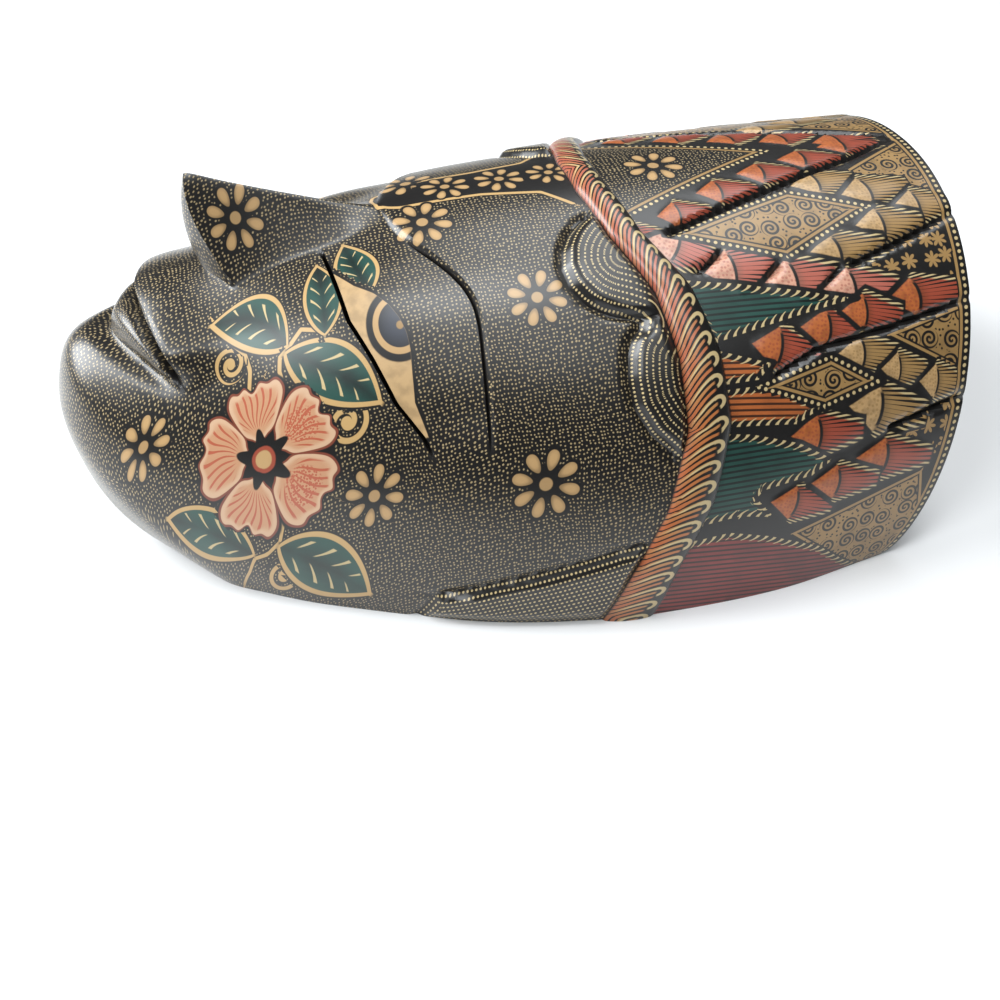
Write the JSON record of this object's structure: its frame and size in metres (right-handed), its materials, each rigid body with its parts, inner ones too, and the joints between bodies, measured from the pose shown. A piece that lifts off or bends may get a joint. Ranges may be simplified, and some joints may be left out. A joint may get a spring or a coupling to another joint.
{
  "type": "batik painted wooden mask",
  "caption": "Long carved wooden face mask with a fin nose, slit eyes and a tall feathered crown, hollow behind, lacquered black and painted with dots, flowers, leaves and scrolls.",
  "frame": {"origin": "middle of the mask's length and width, on the flat rim of its back", "axes": "+X from the chin to the crown, +Z out of the face, -Y towards the mask's own left cheek"},
  "size_m": [0.2412, 0.163, 0.1013],
  "materials": {
    "painted_wood": "black ground with cream, gold, red and green painting under satin lacquer"
  },
  "bodies": {
    "root": {"carved_mask": "painted_wood"}
  },
  "joints": []
}
